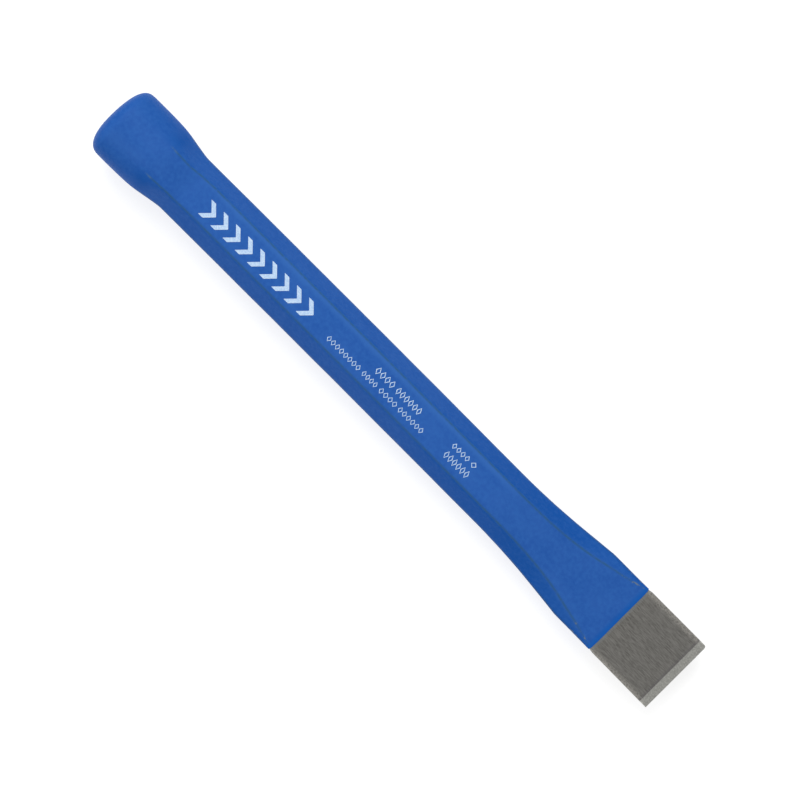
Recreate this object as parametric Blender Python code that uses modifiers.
"""Flat cold chisel, 7 in long with a 3/4 in cutting edge, forged in one piece from 9/16 in hexagon bar.

Three things are laid one on another: the steel forging, the blue powder coat baked over its head, shank and
shoulders, and the white ink screened on the coat. The bare end is ground after coating.
Run it with blender --background --python part.py, or from Blender's text editor. Metres, +Z up. The chisel
lies on its head with its axis along X, the cutting edge at +X, and the printed face up.
"""

import math

import bmesh
import bpy
from mathutils import Vector

MM = 0.001

# Driving dimensions. Distances along the chisel run from the crown of the striking end.
LENGTH = 177.8 * MM
HEX_FLATS = 14.5 * MM  # 9/16 in bar with its coat, across the flats
SHANK_WIDTH = 15.3 * MM  # over the narrow sides, where the forging flash is trimmed off two corners
HEAD_RADIUS = 9.14 * MM
SHOULDER_WIDTH = 19.0 * MM
SHOULDER_THICKNESS = 6.2 * MM
EDGE_WIDTH = 19.2 * MM
BARE_LENGTH = 18.1 * MM  # the end that is ground to bare steel
BEVEL_LENGTH = 2.1 * MM
BEVEL_THICKNESS = 2.5 * MM  # where the cutting bevels begin
EDGE_LAND = 0.14 * MM
COAT = 0.10 * MM
CONTACT_GAP = 0.05 * MM  # between steel and coat, and between coat and ink
INK = 0.06 * MM
UNDER_COAT = COAT + CONTACT_GAP

PAINT_LINE = LENGTH - BARE_LENGTH
BEVEL_LINE = LENGTH - BEVEL_LENGTH

# The crown is a superellipse: nearly flat in the middle and round at the rim.
CROWN_DEPTH = 4.2 * MM
CROWN_POWER = 2.75
CROWN_RINGS = 6

# The hexagon swells into the round head: its top and bottom lead, and its slanted faces follow last.
TOP_SWELL_START = 24.5 * MM
SIDE_SWELL_START = 22.3 * MM
SLANT_SWELL_START = 21.5 * MM
SWELL_RUN = 11.6 * MM
SWELL_RISE = 3.0 * MM
SWELL_POWER = 1.4

# The head's radius limits the swollen hexagon, and lets go of it between these two places.
ROUND_END = 18.0 * MM
HEXAGON_START = 27.0 * MM
LIMIT_RISE = 4.0 * MM
LIMIT_POWER = 16

# The blade tapers on two faces and flares on its sides. Its slanted faces run out at the paint line.
TAPER_START = 118.0 * MM
TAPER_EASE = 8.0 * MM
FLARE_START = 121.8 * MM
FLARE_END = 148.6 * MM
RUNOUT_START = 124.9 * MM
BARE_STEP = 0.8 * MM  # over which the bare sides grow to the coat's own width

# The forging is a little bent: both ends lie towards -Y of its middle.
BOW = 0.29 * MM
BOW_MIDDLE = 0.285 * MM

SIN_SLANT = math.sin(math.radians(30))
COS_SLANT = math.cos(math.radians(30))
RIDGE_ROUNDING = 0.5 * MM  # from each corner of the section to where its rounding starts
BARE_ROUNDING = 0.3 * MM
MOST_ROUNDING = 0.4  # of the face beside it
ARC_STEPS = 2
WIDE_FACE_STEPS = 4
NARROW_FACE_STEPS = 2

# Ink, in the face's own X and Y.
CHEVRONS = 9
CHEVRON_FIRST = 29.5 * MM
CHEVRON_PITCH = 3.83 * MM
CHEVRON_ACROSS = -0.25 * MM
CHEVRON_HEIGHT = 4.3 * MM
CHEVRON_STROKE = 1.4 * MM
CHEVRON_POINT = 2.1 * MM
INK_BARS = {  # start, end, place across the face, and height, in mm
    "print_name_bar_1": (81.9, 87.5, 1.24, 1.95),
    "print_name_bar_2": (88.3, 95.8, 1.24, 1.95),
    "print_notice_bar_1": (69.2, 79.4, -1.46, 1.5),
    "print_notice_bar_2": (80.2, 84.7, -1.46, 1.5),
    "print_notice_bar_3": (85.5, 90.9, -1.46, 1.5),
    "print_notice_bar_4": (91.5, 99.1, -1.46, 1.5),
    "print_origin_bar_1": (105.7, 110.8, 1.42, 1.5),
    "print_origin_bar_2": (111.5, 113.0, 1.42, 1.5),
    "print_origin_bar_3": (105.8, 113.1, -1.19, 2.0),
}

COAT_BLUE = (0.027, 0.107, 0.413, 1.0)
GROUND_STEEL = (0.33, 0.32, 0.30, 1.0)
INK_WHITE = (0.62, 0.70, 0.82, 1.0)


def share(value, start, end):
    """How far value has gone from start to end, kept between 0 and 1."""
    return min(max((value - start) / (end - start), 0.0), 1.0)


def ease(value, start, end):
    """The same, with a soft start and end."""
    t = share(value, start, end)
    return t * t * (3 - 2 * t)


def swell(x, start):
    """How far a face of the hexagon stands out from the bar, growing towards the head."""
    return SWELL_RISE * max((start - x) / SWELL_RUN, 0.0) ** SWELL_POWER


def bow(x):
    """How far the bent axis lies towards +Y at x."""
    from_middle = (x - LENGTH / 2) / (LENGTH / 2)
    return BOW_MIDDLE - BOW * from_middle**2


def taper(x):
    """Half the thickness that the forged taper, the ground faces or the cutting bevels leave."""
    if x <= PAINT_LINE:
        drop = (HEX_FLATS - SHOULDER_THICKNESS) / 2
        slope = drop / (PAINT_LINE - TAPER_START - TAPER_EASE / 2)
        along = max(x - TAPER_START, 0.0)
        eased = min(along, TAPER_EASE)
        return HEX_FLATS / 2 - slope * (along - eased + eased * eased / (2 * TAPER_EASE))
    bare = SHOULDER_THICKNESS - 2 * UNDER_COAT
    ground = bare + (BEVEL_THICKNESS - bare) * share(x, PAINT_LINE, BEVEL_LINE)
    return (ground + (EDGE_LAND - BEVEL_THICKNESS) * share(x, BEVEL_LINE, LENGTH)) / 2


def half_width(x):
    """Half the width: the bar, its swelling towards the head, its flare, and the bare sides past the coat."""
    if x > PAINT_LINE:
        step = UNDER_COAT * (1 - share(x, PAINT_LINE, PAINT_LINE + BARE_STEP))
        growth = (EDGE_WIDTH - SHOULDER_WIDTH) / 2 * share(x, PAINT_LINE, LENGTH)
        return SHOULDER_WIDTH / 2 + growth - step
    flare = 1 - math.cos(math.pi / 2 * share(x, FLARE_START, FLARE_END))
    shank = SHANK_WIDTH / 2 + swell(x, SIDE_SWELL_START)
    return shank + (SHOULDER_WIDTH - SHANK_WIDTH) / 2 * flare


def section_corners(x):
    """The eight corners of the chisel's outline at x, as (y, z), counter-clockwise from the +Y side."""
    top = HEX_FLATS / 2 + swell(x, TOP_SWELL_START)
    side = SHANK_WIDTH / 2 + swell(x, SIDE_SWELL_START)
    slant = HEX_FLATS / 2 + swell(x, SLANT_SWELL_START)
    ridge = (slant - top * SIN_SLANT) / COS_SLANT
    side_top = (slant - side * COS_SLANT) / SIN_SLANT

    width = half_width(x)
    height = top - HEX_FLATS / 2 + taper(x)
    runout = share(x, RUNOUT_START, PAINT_LINE)
    corner = min(BARE_ROUNDING, height / 2)
    ridge += (width - corner - ridge) * runout**2
    side_top += (height - corner - side_top) * runout**4
    quarter = [(width, side_top), (ridge, height)]
    upper = quarter + [(-y, z) for y, z in reversed(quarter)]
    return [Vector(p) for p in upper] + [Vector((-y, -z)) for y, z in upper]


def inset_corners(points, distance):
    """The corners of the same outline with every face moved inwards."""
    moved = []
    for i, point in enumerate(points):
        before = (point - points[i - 1]).normalized()
        after = (points[(i + 1) % len(points)] - point).normalized()
        inwards = Vector((-before.y, before.x)) + Vector((-after.y, after.x))
        moved.append(point + inwards * (distance / (1 + before.dot(after))))
    return moved


def ring(x, inset):
    """The points of the outline at x, in order, with rounded corners and the head's round limit."""
    points = inset_corners(section_corners(x), inset)
    rounded = []
    for i, point in enumerate(points):
        before = points[i - 1] - point
        after = points[(i + 1) % len(points)] - point
        shortest = min(before.length, after.length)
        cut = min(BARE_ROUNDING if x > PAINT_LINE else RIDGE_ROUNDING, MOST_ROUNDING * shortest)
        start = point + before.normalized() * cut
        end = point + after.normalized() * cut
        arc = []
        for step in range(ARC_STEPS + 1):
            t = step / ARC_STEPS
            arc.append(start * (1 - t) ** 2 + point * 2 * t * (1 - t) + end * t * t)
        rounded.append(arc)

    placed = []
    limit = HEAD_RADIUS - inset + LIMIT_RISE * ease(x, ROUND_END, HEXAGON_START)
    for i, arc in enumerate(rounded):
        following = rounded[(i + 1) % len(rounded)][0]
        steps = NARROW_FACE_STEPS if i % 4 == 3 else WIDE_FACE_STEPS
        face = [arc[-1].lerp(following, step / steps) for step in range(1, steps)]
        for y, z in arc + face:
            rounding = (1 + (math.hypot(y, z) / limit) ** LIMIT_POWER) ** (-1 / LIMIT_POWER)
            placed.append(Vector((x, y * rounding, z * rounding)))
    return placed


def crown_rings(inset):
    """The rings of the striking crown, from its middle out to the side of the head."""
    widest = ring(CROWN_DEPTH, inset)
    depth = CROWN_DEPTH - inset
    rings = []
    for step in range(1, CROWN_RINGS):
        turn = math.pi / 2 * step / CROWN_RINGS
        grown = math.sin(turn) ** (2 / CROWN_POWER)
        x = CROWN_DEPTH - depth * math.cos(turn) ** (2 / CROWN_POWER)
        rings.append([Vector((x, p.y * grown, p.z * grown)) for p in widest])
    return rings + [widest]


def stations(start, end, step):
    """Places from start to end, about a step apart, both ends included."""
    count = max(1, round((end - start) / step))
    return [start + (end - start) * i / count for i in range(count + 1)]


def forged_stations():
    """Where the coated length has sections: close together where its shape changes."""
    head = stations(CROWN_DEPTH, 10.5 * MM, 3 * MM)[1:]
    neck = stations(12 * MM, HEXAGON_START, 1.5 * MM)
    blade = stations(TAPER_START, PAINT_LINE, 2.6 * MM)
    return head + neck + blade


def loft(name, start, rings, closed_end):
    """A mesh object from the crown's middle at start through the rings, open or closed at the last one."""
    form = bmesh.new()
    pole = form.verts.new((start, bow(start), 0))
    skin = [[form.verts.new(p + Vector((0, bow(p.x), 0))) for p in points] for points in rings]
    count = len(skin[0])
    for i in range(count):
        after = (i + 1) % count
        form.faces.new((pole, skin[0][after], skin[0][i]))
        for near, far in zip(skin, skin[1:]):
            form.faces.new((near[i], near[after], far[after], far[i]))
    if closed_end:
        form.faces.new(skin[-1])
    bmesh.ops.recalc_face_normals(form, faces=form.faces)
    mesh = bpy.data.meshes.new(name)
    form.to_mesh(mesh)
    form.free()
    mesh.shade_smooth()
    mesh.set_sharp_from_angle(angle=math.radians(20))
    return bpy.data.objects.new(name, mesh)


def material(name, colour, roughness, metallic):
    """A Principled material with one finish."""
    made = bpy.data.materials.new(name)
    made.use_nodes = True
    shader = made.node_tree.nodes["Principled BSDF"]
    shader.inputs["Base Color"].default_value = colour
    shader.inputs["Roughness"].default_value = roughness
    shader.inputs["Metallic"].default_value = metallic
    made.diffuse_color = colour
    return made


def place(thing, finish, axis, collection):
    """Puts an object on the chisel's axis, in its collection, with its finish."""
    collection.objects.link(thing)
    thing.parent = axis
    thing.data.materials.append(finish)


def make_forging():
    """The bar, forged to a head and a blade: just under the coat, and then bare from the paint line."""
    rings = crown_rings(UNDER_COAT) + [ring(x, UNDER_COAT) for x in forged_stations()]
    rings += [ring(x, 0.0) for x in (PAINT_LINE + BARE_STEP, BEVEL_LINE, LENGTH)]
    return loft("steel_forging", UNDER_COAT, rings, closed_end=True)


def make_coat():
    """The coat: the outline's skin from the crown to the paint line, thickened inwards."""
    rings = crown_rings(0.0) + [ring(x, 0.0) for x in forged_stations()]
    coat = loft("powder_coat", 0.0, rings, closed_end=False)
    thickness = coat.modifiers.new("coat_thickness", "SOLIDIFY")
    thickness.thickness = COAT
    thickness.offset = -1
    thickness.use_even_offset = True
    return coat


def flat_print(name, outline):
    """An ink film with this outline, lying just over the coat on the top face."""
    flat = bpy.data.curves.new(name, "CURVE")
    flat.dimensions = "2D"
    flat.fill_mode = "BOTH"
    flat.extrude = INK / 2
    edge = flat.splines.new("POLY")
    edge.points.add(len(outline) - 1)
    for point, (x, y) in zip(edge.points, outline):
        point.co = (x, y, 0, 1)
    edge.use_cyclic_u = True
    film = bpy.data.objects.new(name, flat)
    film.location.z = HEX_FLATS / 2 + CONTACT_GAP + INK / 2
    return film


def chevron(start):
    """The outline of one chevron pointing to the cutting edge."""
    low, high = CHEVRON_ACROSS - CHEVRON_HEIGHT / 2, CHEVRON_ACROSS + CHEVRON_HEIGHT / 2
    tail = [(start, high), (start, low)]
    notch = (start + CHEVRON_POINT, CHEVRON_ACROSS)
    outer = [(x + CHEVRON_STROKE, y) for x, y in (tail[1], notch, tail[0])]
    return [tail[0], notch, tail[1]] + outer


def make_prints():
    """The chevron band and the three groups of bars, each film its own object."""
    films = []
    for i in range(CHEVRONS):
        films.append(flat_print(f"print_chevron_{i + 1}", chevron(CHEVRON_FIRST + i * CHEVRON_PITCH)))
    for name, numbers in INK_BARS.items():
        start, end, across, height = (n * MM for n in numbers)
        low, high = across - height / 2, across + height / 2
        films.append(flat_print(name, [(start, low), (end, low), (end, high), (start, high)]))
    return films


def main():
    for thing in list(bpy.data.objects):
        bpy.data.objects.remove(thing, do_unlink=True)
    chisel = bpy.data.collections.new("cold_chisel")
    bpy.context.scene.collection.children.link(chisel)
    axis = bpy.data.objects.new("chisel_axis", None)
    axis.location = (-LENGTH / 2, 0, HEAD_RADIUS)
    chisel.objects.link(axis)

    place(make_forging(), material("ground_steel", GROUND_STEEL, 0.38, 1.0), axis, chisel)
    place(make_coat(), material("powder_coat_blue", COAT_BLUE, 0.5, 0.0), axis, chisel)
    ink = material("ink_white", INK_WHITE, 0.6, 0.0)
    for film in make_prints():
        place(film, ink, axis, chisel)


main()
